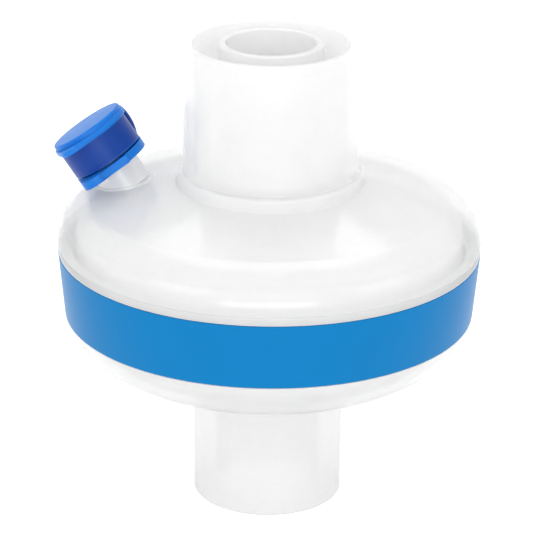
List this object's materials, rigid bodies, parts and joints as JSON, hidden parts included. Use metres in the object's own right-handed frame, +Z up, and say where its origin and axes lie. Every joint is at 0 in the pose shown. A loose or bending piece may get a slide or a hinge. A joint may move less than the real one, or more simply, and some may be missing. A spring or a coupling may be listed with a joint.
{
  "type": "breathing circuit filter",
  "caption": "Round clear-white breathing circuit filter with coaxial and conical ports, a blue band and a capped slanted sampling port.",
  "frame": {"origin": "centre of the patient port's rim, on the filter's axis", "axes": "+Z up the gas path from the patient port to the machine port, -X towards the sampling port"},
  "size_m": [0.0623, 0.0616, 0.0695],
  "materials": {
    "clear_shell": "clear moulded plastic, made white by the media behind it",
    "filter_felt": "white fibrous felt",
    "exchange_foam": "open foam",
    "band_blue": "printed film, satin",
    "cap_blue": "soft moulded plastic, satin"
  },
  "bodies": {
    "filter": {"upper_housing": "clear_shell", "lower_housing": "clear_shell", "filter_pad": "filter_felt", "hme_media": "exchange_foam", "label_band": "band_blue"},
    "ring": {"cap_ring": "cap_blue", "cap_strap": "cap_blue"},
    "cap": {"port_cap": "cap_blue"}
  },
  "joints": [
    {"name": "cap_turn", "type": "hinge", "parent": "filter", "child": "ring", "pos_m": [-0.02109, 0.00296, 0.04713], "axis": [-0.5595, 0.0786, 0.8251], "continuous": true},
    {"name": "cap_lift", "type": "slide", "parent": "ring", "child": "cap", "axis": [-0.5595, 0.0786, 0.8251], "range_m": [0, 0.005], "deforming": ["cap_strap"]}
  ]
}
